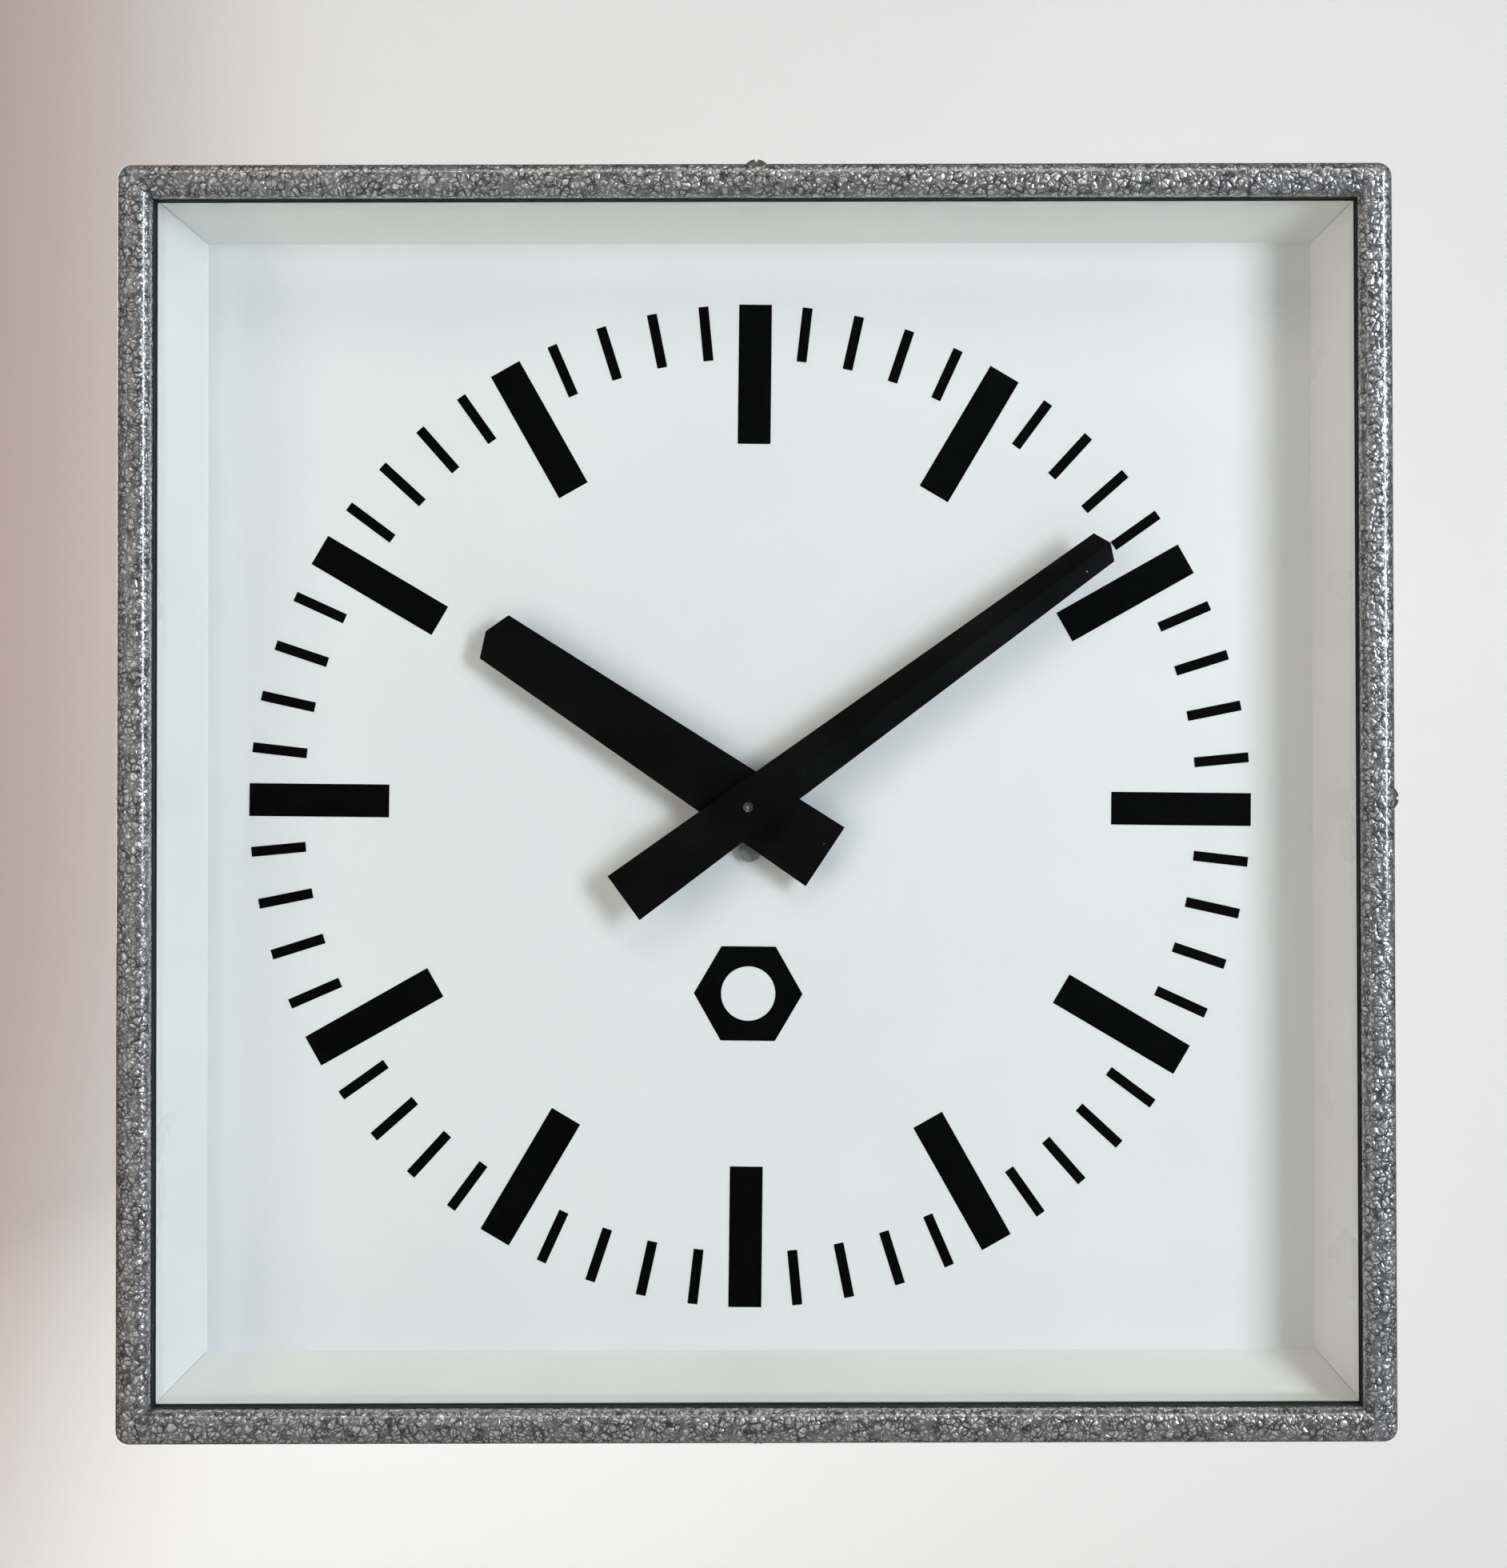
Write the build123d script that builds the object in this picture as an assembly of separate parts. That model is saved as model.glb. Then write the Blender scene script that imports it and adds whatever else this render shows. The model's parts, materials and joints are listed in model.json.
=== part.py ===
from build123d import *
import os
from math import acos, cos, pi, radians, sin, tan

# A square wall clock of the kind that hangs in works, garages and filling stations: a folded steel
# front frame over a steel case, flat glass, a white mitred liner, a printed dial, two hands and a
# slave movement that one electrical impulse a minute steps on.
# Sizes are in millimetres. +Z is up and +X is to the right of someone who reads the dial, which
# faces -Y. The origin is the middle of the case's back, on the wall. A "depth" is a distance
# behind the frame's front face, and an "inset" is a distance inwards from the frame's outer side.

# Frame and case
case_width = 430.0
case_height = 430.0
case_depth = 84.0
frame_sheet = 1.5
frame_face = 11.5
frame_skirt = 34.0
shoulder_radius = 4.5
lip_depth = 5.0
lip_radius = 4.0
case_gap = 0.4
case_sheet = 1.2
case_front = 6.0
case_back_radius = 1.0

# Screws that hold the frame to the case, one in the middle of each side
frame_screw_radius = 2.5
frame_screw_depth = 14.0
frame_screw_head_radius = 4.2
frame_screw_head_height = 3.5
frame_screw_tail = 2.9
screw_hole_gap = 0.2

# Glass and its rubber channel
glass_thickness = 3.0
glass_edge_room = 1.7
gasket_leg = 1.0
gasket_web = 1.2
gasket_show = 0.5

# Liner between the glass and the dial
liner_sheet = 1.0
liner_straight = 9.6
liner_sloped = 17.4
liner_narrowing = 10.2
liner_bend_radius = 5.0
liner_flange = 5.0
mitre_gap = 0.15

# Dial, its brackets and its screws
dial_sheet = 1.5
dial_border = 1.0
dial_axis_x = -3.6
dial_axis_z = -3.3
dial_turn = 0.7
bracket_sheet = 2.0
bracket_length = 120.0
bracket_leg = 14.0
bracket_edge = 2.3
dial_screw_radius = 1.5
dial_screw_head_radius = 2.75
dial_screw_head_height = 2.0
dial_screw_tail = 0.6
dial_screw_spacing = 90.0
dial_nut_radius = 3.2
dial_nut_height = 2.4
dial_nut_gap = 0.8

# Printed marks
ink_thickness = 0.1
ring_radius = 175.2
hour_mark = (11.5, 48.9)
minute_mark = (3.5, 19.1)
badge_drop = 66.0
badge_radius = 19.0
badge_hole_radius = 9.5

# Hands, at nine minutes past ten
hand_sheet = 1.0
hour_boss_lift = 3.5
hand_gap = 0.7
minute_angle = 54.0
hour_angle = 303.7
hour_tip, hour_corner, hour_tail = 109.6, 106.1, 31.7
hour_half_width_tail, hour_half_width_corner = 12.2, 9.0
minute_tip, minute_corner, minute_tail = 154.5, 151.9, 53.1
minute_half_width_tail, minute_half_width_corner = 9.35, 6.0
fold_start, fold_apex, fold_slope = 15.7, 21.8, 0.2
hour_boss_radius, hour_boss_length = 6.0, 4.0
minute_boss_radius, minute_boss_length = 4.5, 2.8

# Arbors and fits
running_gap = 0.04
hole_gap = 1.0
minute_arbor_radius = 1.75
hour_pipe_radius = 3.0
hour_pipe_show = 0.5
arbor_dimple_radius = 0.8
stud_radius = 1.25
stud_head_radius = 2.2
stud_head_height = 0.7
train_arbor_radius = 1.2
train_pivot_radius = 0.8
bush_radius = 3.5
bush_flange_radius = 4.5
bush_flange = 0.6

# Gears
pressure_angle = 20.0
addendum = 0.75
dedendum = 1.0
tooth_thinning = 0.06
coarse_module = 0.5
step_module = 0.4
pinion_teeth = 12
motion_teeth = 36
hour_teeth = 48
centre_teeth = 60
step_teeth = 72
wheel_sheet = 1.5
pinion_length = 3.0
pinion_overhang = (pinion_length - wheel_sheet) / 2
wheel_gap = 1.5
dial_wheel_gap = 2.5
plate_wheel_gap = 3.0
magnet_wheel_gap = 2.0

# Movement plates, pillars and screws
plate_sheet = 1.5
plate_edge = 4.0
plate_corner_radius = 3.0
movement_screw_circle = 16.0
movement_screw_radius = 2.0
movement_screw_head_radius = 3.9
movement_screw_head_height = 2.6
movement_screw_reach = 6.0
standoff_radius = 3.0
pillar_radius = 2.5
pillar_gap = 2.5
pillar_up = 19.0
plate_screw_radius = 1.25
plate_screw_head_radius = 2.4
plate_screw_head_height = 1.6

# Magnet, poles and coil
magnet_radius = 5.5
magnet_length = 3.0
air_gap = 0.6
pole_stack = 3.0
pole_half_width = 22.0
pole_half_height = 8.0
pole_leg = 6.0
pole_split = 1.0
coil_gap = 7.7
core_height = 6.0
bobbin_wall = 1.0
bobbin_half_side = 7.5
bobbin_half_length = 14.5
winding_radius = 6.8
pole_screw_inset = 5.0

# Wiring and wall fixings
terminal_width, terminal_height, terminal_depth = 40.0, 18.0, 14.0
terminal_drop = 150.0
terminal_screw_radius = 1.75
terminal_screw_head_radius = 3.2
terminal_screw_head_height = 2.0
terminal_spacing = 20.0
lead_radius = 0.7
lead_spacing = 12.0
lead_bend = 18.0
grommet_bore_radius = 4.0
grommet_neck_radius = 6.5
grommet_flange_radius = 9.0
grommet_flange = 1.8
grommet_from_wall = 22.0
keyhole_radius = 6.0
keyhole_slot_width = 5.5
keyhole_rise = 12.0
keyhole_height = 160.0
hanger_width, hanger_height, hanger_sheet = 60.0, 50.0, 2.5
hanger_keyhole_gap = 0.5
wall_hole_radius = 2.75
wall_hole_spacing_x = 300.0
wall_hole_spacing_z = 300.0

# Sizes and depths that follow from the ones above
half_width = case_width / 2
half_height = case_height / 2
corner_radius = shoulder_radius + 0.2
case_inset = frame_sheet + case_gap
inner_inset = case_inset + case_sheet
frame_screw_reach = inner_inset + frame_screw_tail
glass_inset = inner_inset + glass_edge_room + gasket_web
glass_front = lip_depth + gasket_leg
glass_back = glass_front + glass_thickness
liner_front = glass_back + gasket_leg
liner_bend = liner_front + liner_straight
dial_front = liner_bend + liner_sloped
dial_back = dial_front + dial_sheet
floor = case_depth - case_sheet

# The dial screws' nuts stand on the liner's foot, clear of its sloped part and of its edge
liner_slope = liner_narrowing / liner_sloped
liner_steepness = (1 + liner_slope**2) ** 0.5
foot_top = dial_front - liner_sheet
slope_beside_bend = frame_face - liner_sheet * liner_steepness
nut_front = foot_top - dial_nut_height
slope_beside_nuts = slope_beside_bend + (nut_front - liner_bend) * liner_slope
dial_screw_inset = slope_beside_nuts - dial_nut_gap - dial_nut_radius
liner_foot_inset = dial_screw_inset - dial_nut_radius - dial_nut_gap
dial_inset = liner_foot_inset - dial_border
bracket_leg_back = dial_back + bracket_sheet
bracket_reach = dial_screw_inset + dial_screw_head_radius + bracket_edge - inner_inset

# Depths of the hands: each is a blade with a boss behind it
hour_hand_back = dial_front - hour_boss_lift - hour_boss_length
hour_hand_front = hour_hand_back - hand_sheet
hour_pipe_front = hour_hand_front - hour_pipe_show
minute_hand_back = hour_pipe_front - hand_gap - minute_boss_length
minute_hand_front = minute_hand_back - hand_sheet

# The hour wheel's pair shares its centres with the cannon pinion's pair, which sets its module
hour_module = coarse_module * (pinion_teeth + motion_teeth) / (pinion_teeth + hour_teeth)

# Centres of the train's arbors, from the hand axis
motion_centre = (0, coarse_module * (pinion_teeth + motion_teeth) / 2)
step_centre = (0, -coarse_module * (pinion_teeth + centre_teeth) / 2)
rotor_centre = (0, step_centre[1] - step_module * (pinion_teeth + step_teeth) / 2)
UP, DOWN = 90, -90

# Depths of the gears and plates: the hour wheel is next to the dial, the magnet next to the back
hour_wheel_front = dial_back + dial_wheel_gap
motion_wheel_front = hour_wheel_front + wheel_sheet + pinion_overhang + wheel_gap
plate_front = motion_wheel_front + wheel_sheet + pinion_overhang + wheel_gap
train_front = plate_front + plate_sheet
centre_wheel_front = train_front + plate_wheel_gap
step_wheel_front = centre_wheel_front + wheel_sheet + pinion_overhang + wheel_gap
pole_front = step_wheel_front + wheel_sheet + pinion_overhang + magnet_wheel_gap
magnet_front = pole_front + (pole_stack - magnet_length) / 2
train_back = pole_front + pole_stack
back_plate_back = train_back + plate_sheet

# Places across the movement, from the hand axis
pole_bottom = rotor_centre[1] - pole_half_height
coil_height = pole_bottom - coil_gap - bobbin_half_side
pillar_across = pole_half_width + pillar_gap + pillar_radius
pole_screw_across = pole_half_width - pole_screw_inset
plate_half_width = pillar_across + plate_edge
plate_top = pillar_up + plate_edge
front_plate_bottom = coil_height - bobbin_half_side - pillar_gap


def layer(sketch, front, back):
    """Extrude a sketch, drawn as the dial is read, between two depths."""
    return extrude(Plane.XZ.offset(case_depth - back) * sketch, amount=back - front)


def on_axis(part):
    """Move a piece that is built about the hand axis to its place in the case."""
    return Pos(dial_axis_x, 0, dial_axis_z) * part


def rod(radius, front, back, centre=(0, 0)):
    """A round bar along the depth, from one depth to another."""
    return layer(Pos(*centre) * Circle(radius), front, back)


def tube(outer_radius, inner_radius, front, back, centre=(0, 0)):
    """A round tube along the depth."""
    return layer(Pos(*centre) * (Circle(outer_radius) - Circle(inner_radius)), front, back)


def plain_box(inset, front, back):
    """A block as wide and high as the case, less an inset all round."""
    return layer(Rectangle(case_width - 2 * inset, case_height - 2 * inset), front, back)


def rounded_box(inset, front, back):
    """The same block with corners that stay concentric with the frame's."""
    outline = RectangleRounded(
        case_width - 2 * inset, case_height - 2 * inset, corner_radius - inset
    )
    return layer(outline, front, back)


def front_face(part):
    return part.faces().sort_by(Axis.Y)[0]


def back_face(part):
    return part.faces().sort_by(Axis.Y)[-1]


def on_four_sides(make_piece):
    """Turn a piece that is made for the top side, from its half span, to all four sides."""
    sides = ((0, half_height), (90, half_width), (180, half_height), (270, half_width))
    return [Rot(0, angle, 0) * make_piece(half_span) for angle, half_span in sides]


def named_sides(make_side):
    """Turn a side that is made for the top, from its half span and half length, to all four."""
    return {
        "top": make_side(half_height, half_width),
        "right": Rot(0, 90, 0) * make_side(half_width, half_height),
        "bottom": Rot(0, 180, 0) * make_side(half_height, half_width),
        "left": Rot(0, 270, 0) * make_side(half_width, half_height),
    }


def mitred_side(half_span, half_length, front, back, gap=0.0):
    """The block that holds the top side, cut at 45 degrees where it meets its neighbours."""
    end = half_length - gap / 2
    cut = frame_face + liner_narrowing + liner_sheet
    outline = Polygon(
        (cut - end, half_span - cut),
        (end - cut, half_span - cut),
        (end, half_span),
        (-end, half_span),
        align=None,
    )
    return layer(outline, front, back)


def slotted_screw(head_radius, head_height, shank_radius, reach, domed=False):
    """A screw along Z, with the underside of its head at Z = 0 and its slot along Y."""
    stand = Align.CENTER, Align.CENTER, Align.MIN
    head = Cylinder(head_radius, head_height, align=stand)
    if domed:
        rise = 0.7 * head_height
        ball_radius = (head_radius**2 + rise**2) / (2 * rise)
        head = head & Pos(0, 0, head_height - ball_radius) * Sphere(ball_radius)
    slot = Pos(0, 0, 0.6 * head_height) * Box(
        0.28 * head_radius, 3 * head_radius, head_height, align=stand
    )
    hang = Align.CENTER, Align.CENTER, Align.MAX
    return head - slot + Cylinder(shank_radius, reach, align=hang)


def facing_front(part, x, z, depth, turn=0):
    """Stand a piece built along Z on a depth, so that its top looks out of the clock."""
    return Pos(x, depth - case_depth, z) * Rot(90, 0, 0) * Rot(0, 0, turn) * part


def polar(radius, angle):
    return radius * cos(angle), radius * sin(angle)


def gear_outline(teeth, module, phase):
    """An involute gear with one tooth centred at the phase, in degrees from +X."""
    pitch_radius = module * teeth / 2
    base_radius = pitch_radius * cos(radians(pressure_angle))
    root_radius = pitch_radius - dedendum * module
    tip_radius = pitch_radius + addendum * module
    flank_radius = max(root_radius, base_radius)
    middle_radius = (flank_radius + tip_radius) / 2

    def involute(angle):
        return tan(angle) - angle

    def half_tooth(radius):
        at_pitch = pi / (2 * teeth) - tooth_thinning / (2 * pitch_radius)
        return at_pitch + involute(radians(pressure_angle)) - involute(acos(base_radius / radius))

    edges = []
    for number in range(teeth):
        centre = radians(phase) + 2 * pi * number / teeth
        rise = [
            polar(radius, centre - half_tooth(radius))
            for radius in (flank_radius, middle_radius, tip_radius)
        ]
        fall = [
            polar(radius, centre + half_tooth(radius))
            for radius in (tip_radius, middle_radius, flank_radius)
        ]
        foot = polar(root_radius, centre - half_tooth(flank_radius))
        heel = polar(root_radius, centre + half_tooth(flank_radius))
        next_foot = polar(root_radius, centre - half_tooth(flank_radius) + 2 * pi / teeth)
        if root_radius < base_radius:
            edges += [Line(foot, rise[0]), Line(fall[2], heel)]
        edges += [
            ThreePointArc(*rise),
            Line(rise[2], fall[0]),
            ThreePointArc(*fall),
            Line(heel, next_foot),
        ]
    return Face(Wire(edges))


def meshed_phase(teeth, phase, direction, mate_teeth):
    """The phase of a mate that lies in a direction, with its gap on the first gear's tooth."""
    return direction + 180 - ((phase - direction) * teeth + 180) / mate_teeth


def wheel(teeth, module, phase, bore_radius, front, centre, hole_count):
    """A thin gear with a bore and a ring of lightening holes."""
    pitch_radius = module * teeth / 2
    hole_ring = (pitch_radius + bore_radius) / 2
    hole_radius = 0.22 * pitch_radius
    holes = PolarLocations(hole_ring, hole_count) * Circle(hole_radius)
    blank = Sketch() + gear_outline(teeth, module, phase) - Circle(bore_radius) - holes
    return layer(Pos(*centre) * blank, front, front + wheel_sheet)


def pinion(module, phase, bore_radius, wheel_front, centre):
    """A pinion that overhangs the wheel it meshes with on both sides."""
    front = wheel_front - pinion_overhang
    blank = Sketch() + gear_outline(pinion_teeth, module, phase) - Circle(bore_radius)
    return layer(Pos(*centre) * blank, front, front + pinion_length)


def make_front_frame():
    """Folded frame: a rounded face with a skirt outside and a return lip inside."""
    shell = rounded_box(0, 0, frame_skirt)
    shell = fillet(front_face(shell).edges(), shoulder_radius)
    hollow = rounded_box(frame_sheet, frame_sheet, frame_skirt)
    hollow = fillet(front_face(hollow).edges(), shoulder_radius - frame_sheet)
    trough = hollow - plain_box(frame_face - frame_sheet, frame_sheet, lip_depth)
    trough = fillet(front_face(trough).inner_wires()[0].edges(), lip_radius - frame_sheet)
    frame = shell - trough - plain_box(frame_face, 0, frame_skirt)
    frame = fillet(front_face(frame).inner_wires()[0].edges(), lip_radius)
    return frame - frame_screw_holes(frame_screw_radius + screw_hole_gap)


def frame_screw_holes(radius):
    """Four drills that cross the frame's skirt and the case's wall."""
    y = frame_screw_depth - case_depth

    def drill(half_span):
        return Pos(0, y, half_span - frame_screw_reach / 2) * Cylinder(radius, frame_screw_reach)

    return Part() + on_four_sides(drill)


def make_frame_screws():
    def screw(half_span):
        return Pos(0, frame_screw_depth - case_depth, half_span) * slotted_screw(
            frame_screw_head_radius,
            frame_screw_head_height,
            frame_screw_radius,
            frame_screw_reach,
            domed=True,
        )

    return on_four_sides(screw)


def make_glass_pane():
    return plain_box(glass_inset, glass_front, glass_back)


def make_glass_gasket():
    """Rubber channel that wraps the edge of the glass and shows a little inside the frame."""
    block = plain_box(glass_inset - gasket_web, lip_depth, liner_front)
    return block - plain_box(frame_face + gasket_show, lip_depth, liner_front) - make_glass_pane()


def liner_profile(half_span):
    """Cross-section of the top strip: flange, straight part, sloped part and foot."""
    outer_bend = liner_bend + liner_sheet * (liner_steepness - 1) / liner_slope
    inner_end = slope_beside_bend + (foot_top - liner_bend) * liner_slope
    corners = [
        (frame_face - liner_flange, liner_front),
        (frame_face, liner_front),
        (frame_face, liner_bend),
        (frame_face + liner_narrowing, dial_front),
        (liner_foot_inset, dial_front),
        (liner_foot_inset, foot_top),
        (inner_end, foot_top),
        (frame_face - liner_sheet, outer_bend),
        (frame_face - liner_sheet, liner_front + liner_sheet),
        (frame_face - liner_flange, liner_front + liner_sheet),
    ]
    points = [(depth - case_depth, half_span - inset) for inset, depth in corners]
    outline = make_face(Polyline(points, close=True))
    inner = outline.vertices().sort_by_distance((*points[2], 0))[0]
    outline = fillet(inner, liner_bend_radius)
    outer = outline.vertices().sort_by_distance((*points[7], 0))[0]
    return fillet(outer, liner_bend_radius + liner_sheet)


def make_liner_strip(half_span, half_length):
    bar = extrude(Plane.YZ * liner_profile(half_span), amount=half_length, both=True)
    return bar & mitred_side(half_span, half_length, liner_front, dial_front, mitre_gap)


def make_liner():
    """Four strips, named by the side they are on."""
    drills = dial_screw_rods(dial_screw_radius + screw_hole_gap, foot_top, dial_front)
    return {
        f"liner_{side}": strip - drills for side, strip in named_sides(make_liner_strip).items()
    }


def dial_screw_places():
    """Two screws along each side, through the liner's foot, the dial and its bracket."""
    along = dial_screw_spacing / 2
    across = half_width - dial_screw_inset
    up = half_height - dial_screw_inset
    level = [(x, z) for x in (-along, along) for z in (-up, up)]
    upright = [(x, z) for x in (-across, across) for z in (-along, along)]
    return level + upright


def dial_screw_rods(radius, front, back):
    return [rod(radius, front, back, place) for place in dial_screw_places()]


def make_dial_plate():
    """Square dial with the movement's screw holes and a hole for the hour pipe."""
    plate = plain_box(dial_inset, dial_front, dial_back)
    centre_hole = rod(hour_pipe_radius + hole_gap, dial_front, dial_back)
    movement_holes = movement_rods(movement_screw_radius + screw_hole_gap, dial_front, dial_back)
    plate -= [on_axis(hole) for hole in [centre_hole, *movement_holes]]
    return plate - dial_screw_rods(dial_screw_radius + screw_hole_gap, dial_front, dial_back)


def make_dial_brackets():
    """An angle on each wall of the case, with its leg behind the dial."""
    wall_back = dial_back + bracket_leg

    def angle(half_span):
        top = half_span - inner_inset
        leg = Pos(0, top - bracket_reach / 2) * Rectangle(bracket_length, bracket_reach)
        wall = Pos(0, top - bracket_sheet / 2) * Rectangle(bracket_length, bracket_sheet)
        return layer(leg, dial_back, bracket_leg_back) + layer(wall, dial_back, wall_back)

    drills = dial_screw_rods(dial_screw_radius + screw_hole_gap, dial_back, bracket_leg_back)
    return [bracket - drills for bracket in on_four_sides(angle)]


def make_dial_screws():
    """Screws from behind, through the bracket, the dial and the liner's foot."""
    reach = bracket_leg_back - nut_front + dial_screw_tail
    screw = slotted_screw(
        dial_screw_head_radius, dial_screw_head_height, dial_screw_radius, reach
    )
    return [facing_back(screw, x, z, bracket_leg_back) for x, z in dial_screw_places()]


def make_dial_nuts():
    """Hexagon nuts that the dial screws end in, hidden under the liner's slope."""
    outline = RegularPolygon(dial_nut_radius, 6) - Circle(dial_screw_radius)
    return [layer(Pos(*place) * outline, nut_front, foot_top) for place in dial_screw_places()]


def make_dial_markings():
    """Sixty bars inside one ring and a hexagonal badge, as a film of ink."""
    marks = Sketch()
    for minute in range(60):
        width, length = minute_mark if minute % 5 else hour_mark
        bar = Pos(0, ring_radius - length / 2) * Rectangle(width, length)
        marks += Rot(0, 0, -6 * minute) * bar
    badge = RegularPolygon(badge_radius, 6) - Circle(badge_hole_radius)
    marks += Pos(0, -badge_drop) * badge
    return on_axis(layer(Rot(0, 0, -dial_turn) * marks, dial_front - ink_thickness, dial_front))


def make_hour_hand():
    """Flat tapered blade with a blunt point."""
    outline = Polygon(
        (-hour_half_width_tail, -hour_tail),
        (hour_half_width_tail, -hour_tail),
        (hour_half_width_corner, hour_corner),
        (0, hour_tip),
        (-hour_half_width_corner, hour_corner),
        align=None,
    )
    blade = layer(outline - Circle(hour_pipe_radius), hour_hand_front, hour_hand_back)
    return Rot(0, hour_angle, 0) * blade


def make_minute_hand():
    """Tapered blade with a flat tail and a lengthwise fold from near the arbor to the tip."""
    taper = (minute_half_width_tail - minute_half_width_corner) / (minute_corner + minute_tail)

    def half_width_at(along):
        return minute_half_width_tail - taper * (along + minute_tail)

    def edge(side, along):
        return side * half_width_at(along), minute_hand_front - case_depth, along

    def ridge(along):
        return 0, minute_hand_front - case_depth - fold_slope * half_width_at(along), along

    flat = [edge(-1, -minute_tail), edge(1, -minute_tail), edge(1, fold_start), edge(-1, fold_start)]
    hip = [edge(-1, fold_start), edge(1, fold_start), ridge(fold_apex)]
    facets = [flat, hip]
    for side in (-1, 1):
        facets.append(
            [edge(side, fold_start), edge(side, minute_corner), ridge(minute_tip), ridge(fold_apex)]
        )
    sheets = [
        extrude(make_face(Polyline(facet, close=True)), amount=hand_sheet, dir=(0, 1, 0))
        for facet in facets
    ]
    blade = Part() + sheets - rod(minute_arbor_radius, minute_hand_front, minute_hand_back)
    return Rot(0, minute_angle, 0) * blade


def make_minute_arbor():
    """Steel arbor from the minute hand to the back plate, with a centre dimple at its front."""
    bar = rod(minute_arbor_radius, minute_hand_front, back_plate_back)
    dimple = Pos(0, minute_hand_front - case_depth, 0) * Sphere(arbor_dimple_radius)
    return bar - dimple


def make_hour_wheel():
    """Hour wheel and the pipe that carries the hour hand, running on the minute arbor."""
    bore = minute_arbor_radius + running_gap
    phase = meshed_phase(pinion_teeth, 0, DOWN, hour_teeth)
    disc = wheel(hour_teeth, hour_module, phase, bore, hour_wheel_front, (0, 0), 6)
    return disc + tube(hour_pipe_radius, bore, hour_pipe_front, hour_wheel_front)


def make_motion_work():
    """Cannon pinion on the minute arbor, and the wheel and pinion that turn together on a stud."""
    stud_bore = stud_radius + running_gap
    wheel_phase = meshed_phase(pinion_teeth, 0, UP, motion_teeth)
    motion_wheel = wheel(
        motion_teeth, coarse_module, wheel_phase, stud_bore, motion_wheel_front, motion_centre, 5
    )
    motion_pinion = pinion(hour_module, 0, stud_bore, hour_wheel_front, motion_centre)
    hub_front = hour_wheel_front + wheel_sheet + pinion_overhang
    hub = tube(2 * stud_radius, stud_bore, hub_front, motion_wheel_front, motion_centre)
    stud_front = hour_wheel_front - pinion_overhang - running_gap - stud_head_height
    stud = rod(stud_radius, stud_front, plate_front, motion_centre)
    stud += rod(stud_head_radius, stud_front, stud_front + stud_head_height, motion_centre)
    return {
        "cannon_pinion": pinion(
            coarse_module, 0, minute_arbor_radius, motion_wheel_front, (0, 0)
        ),
        "motion_wheel": motion_wheel,
        "motion_pinion": motion_pinion + hub,
        "motion_stud": stud,
    }


def make_train():
    """Centre wheel, step wheel with its pinion, and the rotor's pinion, arbor and magnet."""
    centre_phase = 0
    step_pinion_phase = meshed_phase(centre_teeth, centre_phase, DOWN, pinion_teeth)
    rotor_pinion_phase = meshed_phase(step_teeth, 0, DOWN, pinion_teeth)
    hub = tube(2 * minute_arbor_radius, minute_arbor_radius, train_front + 1, centre_wheel_front)
    centre_wheel = wheel(
        centre_teeth, coarse_module, centre_phase, minute_arbor_radius, centre_wheel_front,
        (0, 0), 6,
    )
    step_arbor = stepped_arbor(step_centre)
    rotor_arbor = stepped_arbor(rotor_centre)
    magnet_back = magnet_front + magnet_length
    return {
        "centre_wheel": centre_wheel + hub,
        "step_arbor": step_arbor,
        "step_wheel": wheel(
            step_teeth, step_module, 0, train_arbor_radius, step_wheel_front, step_centre, 6
        ),
        "step_pinion": pinion(
            coarse_module, step_pinion_phase, train_arbor_radius, centre_wheel_front, step_centre
        ),
        "rotor_arbor": rotor_arbor,
        "rotor_pinion": pinion(
            step_module, rotor_pinion_phase, train_arbor_radius, step_wheel_front, rotor_centre
        ),
        "rotor_magnet": tube(
            magnet_radius, train_arbor_radius, magnet_front, magnet_back, rotor_centre
        ),
    }


def stepped_arbor(centre):
    """An arbor between the plates with a thinner pivot at each end."""
    body = rod(
        train_arbor_radius, train_front + running_gap, train_back - running_gap, centre
    )
    return body + rod(train_pivot_radius, plate_front, back_plate_back, centre)


def movement_rods(radius, front, back):
    """Three bars on the movement's screw circle, one of them straight below the hands."""
    places = PolarLocations(movement_screw_circle, 3, start_angle=DOWN)
    return [layer(place * Circle(radius), front, back) for place in places]


def make_movement_screws():
    """Cheese-head screws through the dial, each with its slot turned its own way."""
    screw = slotted_screw(
        movement_screw_head_radius, movement_screw_head_height, movement_screw_radius,
        dial_sheet + movement_screw_reach,
    )
    places = PolarLocations(movement_screw_circle, 3, start_angle=DOWN)
    slot_turns = (20, 65, 110)
    return [
        facing_front(screw, place.position.X, place.position.Y, dial_front, turn)
        for place, turn in zip(places, slot_turns)
    ]


def make_standoffs():
    """Sleeves between the dial and the movement, tapped for its screws."""
    blanks = movement_rods(standoff_radius, dial_back, plate_front)
    drill_back = dial_back + movement_screw_reach
    drills = movement_rods(movement_screw_radius, dial_back, drill_back)
    return [blank - drill for blank, drill in zip(blanks, drills)]


def pillar_places():
    heights = pillar_up, rotor_centre[1]
    return [(x, z) for x in (-pillar_across, pillar_across) for z in heights]


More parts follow.
